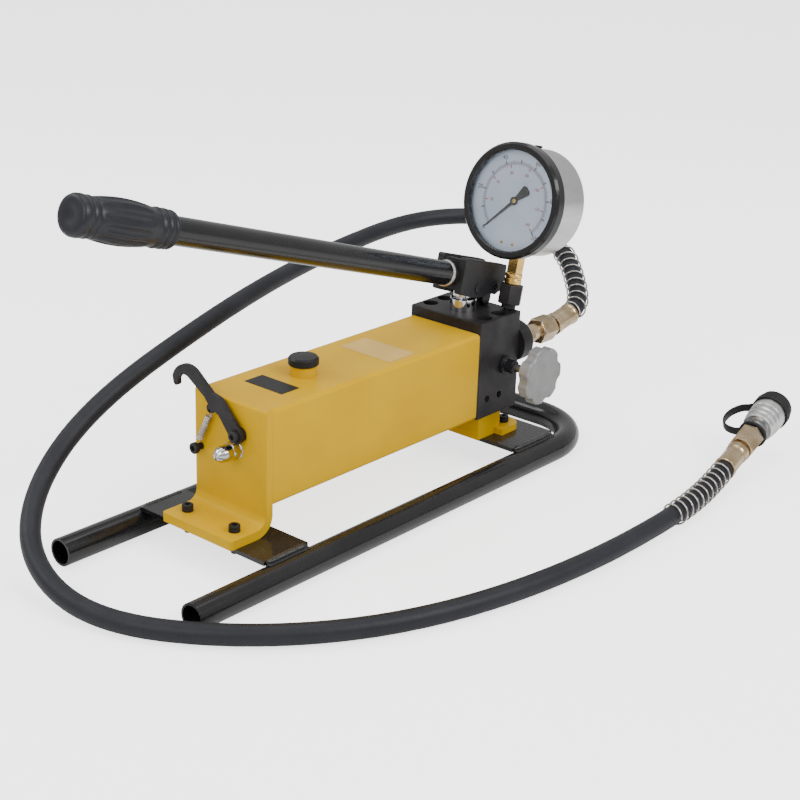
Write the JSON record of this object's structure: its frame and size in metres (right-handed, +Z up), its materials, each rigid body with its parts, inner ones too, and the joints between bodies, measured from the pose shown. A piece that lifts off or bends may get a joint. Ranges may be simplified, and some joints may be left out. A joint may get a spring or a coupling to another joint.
{
  "type": "hydraulic hand pump",
  "caption": "Manual hydraulic pump with tank on a tubular skid, lever handle, release knob, pressure gauge, hose and quick coupler with dust cap.",
  "frame": {"origin": "on the floor, at the centre of the area the pump and its hose cover", "axes": "+X along the tank from its foot end to the valve block, +Y away from the release knob, +Z up"},
  "size_m": [0.9389, 0.6058, 0.4388],
  "materials": {
    "black_gloss_paint": "gloss",
    "black_satin_paint": "satin",
    "yellow_paint": "gloss",
    "black_oxide": "satin",
    "blued_steel": "satin",
    "chrome": "polished",
    "bright_zinc": "satin",
    "yellow_zinc": "satin",
    "spring_steel": "satin",
    "ground_steel": "ground",
    "cast_aluminium": "cast",
    "stainless": "brushed",
    "brass": "turned",
    "black_rubber": "matt",
    "hose_rubber": "matt",
    "grip_plastic": "satin",
    "black_plastic": "satin",
    "gasket_fibre": "matt",
    "seal_polyurethane": "satin",
    "window_glass": "clear",
    "dial_enamel": "matt",
    "pointer_black": "matt"
  },
  "bodies": {
    "base": {"skid_tube": "black_gloss_paint", "rear_cross_plate": "black_gloss_paint", "front_cross_plate": "black_gloss_paint", "rear_foot": "yellow_paint", "foot_screws": "black_oxide", "foot_nuts": "bright_zinc", "tank_shell": "yellow_paint", "tank_gasket": "gasket_fibre", "filler_neck": "yellow_paint", "tie_rod": "bright_zinc", "dome_nut": "chrome", "suction_strainer": "bright_zinc", "hook_screws": "black_oxide", "hook_spring": "spring_steel", "front_foot": "yellow_paint", "valve_block": "black_oxide", "top_port_plugs": "blued_steel", "valve_springs": "spring_steel", "relief_set_screws": "blued_steel", "gland_nut": "chrome", "rod_seal": "seal_polyurethane", "release_gland": "blued_steel", "fulcrum_lug": "black_oxide", "gauge_adapter": "black_oxide", "gauge_stem": "brass", "gauge_case": "stainless", "gauge_bezel": "black_gloss_paint", "gauge_window": "window_glass", "gauge_dial": "dial_enamel", "bourdon_tube": "brass", "gauge_fill_plug": "black_rubber", "outlet_boss": "black_oxide", "outlet_adapter": "yellow_zinc", "hose_nuts": "yellow_zinc", "hose_ferrules": "yellow_zinc", "guard_springs": "spring_steel", "hose": "hose_rubber", "coupler_adapter": "bright_zinc", "coupler_body": "bright_zinc", "coupler_springs": "spring_steel", "locking_balls": "ground_steel", "dust_cap_strap": "black_rubber"},
    "links": {"fulcrum_links": "blued_steel", "fulcrum_pins": "blued_steel"},
    "handle": {"handle_head": "black_satin_paint", "handle_tube": "black_gloss_paint", "handle_grip": "grip_plastic", "piston_pin": "blued_steel"},
    "piston": {"pump_piston": "ground_steel"},
    "release_valve": {"release_spindle": "ground_steel", "release_knob": "cast_aluminium"},
    "gauge_needle_body": {"gauge_pointer": "pointer_black"},
    "filler_cap_body": {"filler_cap": "black_plastic"},
    "hook": {"hook_lever": "black_oxide"},
    "inlet_check": {"inlet_ball": "ground_steel"},
    "discharge_check": {"discharge_ball": "ground_steel"},
    "relief_checks": {"relief_balls": "ground_steel"},
    "sleeve": {"coupler_sleeve": "bright_zinc"},
    "poppet": {"coupler_poppet": "bright_zinc"},
    "cap": {"dust_cap": "black_rubber"}
  },
  "joints": [
    {"name": "link_rock", "type": "hinge", "parent": "base", "child": "links", "pos_m": [0.18914, 0.03369, 0.202], "axis": [0, 1, 0], "range_deg": [-12.4, 0]},
    {"name": "handle_swing", "type": "hinge", "parent": "links", "child": "handle", "pos_m": [0.19114, 0.03369, 0.22], "axis": [0, 1, 0], "range_deg": [0, 32]},
    {"name": "piston_stroke", "type": "slide", "parent": "base", "child": "piston", "axis": [0, 0, 1], "range_m": [0, 0.0109]},
    {"name": "release_turn", "type": "hinge", "parent": "base", "child": "release_valve", "pos_m": [0.17314, -0.07031, 0.13], "axis": [0, -1, 0], "range_deg": [0, 540]},
    {"name": "gauge_needle", "type": "hinge", "parent": "base", "child": "gauge_needle_body", "pos_m": [0.20951, -0.00731, 0.32806], "axis": [0.9781, 0, -0.2079], "range_deg": [0, 270]},
    {"name": "filler_cap_lift", "type": "slide", "parent": "base", "child": "filler_cap_body", "axis": [0, 0, 1], "range_m": [0, 0.03]},
    {"name": "hook_swing", "type": "hinge", "parent": "base", "child": "hook", "pos_m": [-0.24736, 0.01669, 0.145], "axis": [1, 0, 0], "range_deg": [0, 20], "deforming": ["hook_spring"]},
    {"name": "inlet_ball_lift", "type": "slide", "parent": "base", "child": "inlet_check", "axis": [0, 0, 1], "range_m": [0, 0.0015], "deforming": ["valve_springs"]},
    {"name": "discharge_ball_lift", "type": "slide", "parent": "base", "child": "discharge_check", "axis": [0, 0, 1], "range_m": [0, 0.0015], "deforming": ["valve_springs"]},
    {"name": "relief_balls_lift", "type": "slide", "parent": "base", "child": "relief_checks", "axis": [0, -1, 0], "range_m": [0, 0.0015], "deforming": ["valve_springs"]},
    {"name": "coupler_sleeve_slide", "type": "slide", "parent": "base", "child": "sleeve", "axis": [-0.965, -0.1014, -0.2419], "range_m": [0, 0.005], "deforming": ["coupler_springs"]},
    {"name": "coupler_poppet_push", "type": "slide", "parent": "base", "child": "poppet", "axis": [-0.965, -0.1014, -0.2419], "range_m": [0, 0.005], "deforming": ["coupler_springs"]},
    {"name": "dust_cap_pull", "type": "slide", "parent": "base", "child": "cap", "axis": [0.965, 0.1014, 0.2419], "range_m": [0, 0.06]}
  ],
  "couplings": [
    {"joint": "link_rock", "follows": "handle_swing", "ratio": -0.3861},
    {"joint": "piston_stroke", "follows": "handle_swing", "m_per_rad": 0.019476}
  ]
}
